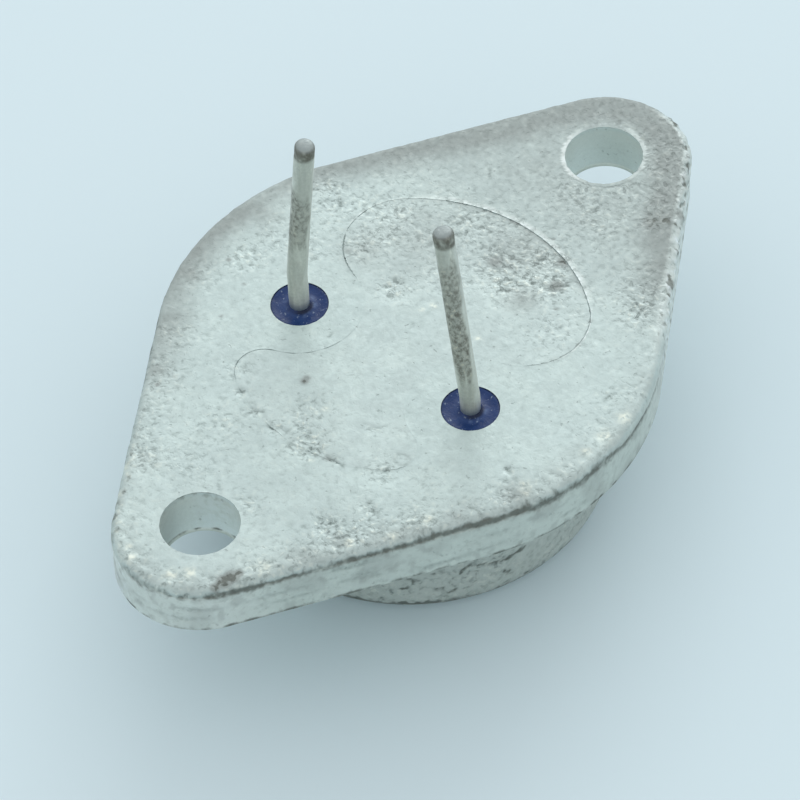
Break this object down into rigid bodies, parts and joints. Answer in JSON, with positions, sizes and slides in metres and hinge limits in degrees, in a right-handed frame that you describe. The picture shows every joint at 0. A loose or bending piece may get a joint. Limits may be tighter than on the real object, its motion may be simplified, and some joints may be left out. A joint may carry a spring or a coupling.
{
  "type": "power transistor",
  "caption": "Metal-cased power transistor lying on its cap: oval mounting plate with bolt holes, flush heat slug, and leads standing up out of blue glass seals.",
  "frame": {"origin": "midway between the centres of the two mounting holes, on the flat seating face of the plate", "axes": "+X from hole to hole, away from the side that the leads are offset to; +Y towards the base lead; +Z out of the seating face along the leads, upwards as the part lies on its cap"},
  "size_m": [0.0386, 0.0246, 0.0215],
  "materials": {
    "plate_plating": "matte",
    "slug_plating": "matte",
    "seal_glass": "gloss",
    "lead_wire": "satin",
    "cap_plating": "satin",
    "solder": "satin",
    "silicon": "gloss",
    "bond_aluminium": "satin"
  },
  "bodies": {
    "root": {"base_plate": "plate_plating", "heat_slug": "slug_plating", "glass_seal_base": "seal_glass", "glass_seal_emitter": "seal_glass", "lead_base": "lead_wire", "lead_emitter": "lead_wire", "cap": "cap_plating", "chip_solder": "solder", "silicon_chip": "silicon", "bond_wire_base": "bond_aluminium", "bond_wire_emitter": "bond_aluminium"}
  },
  "joints": []
}
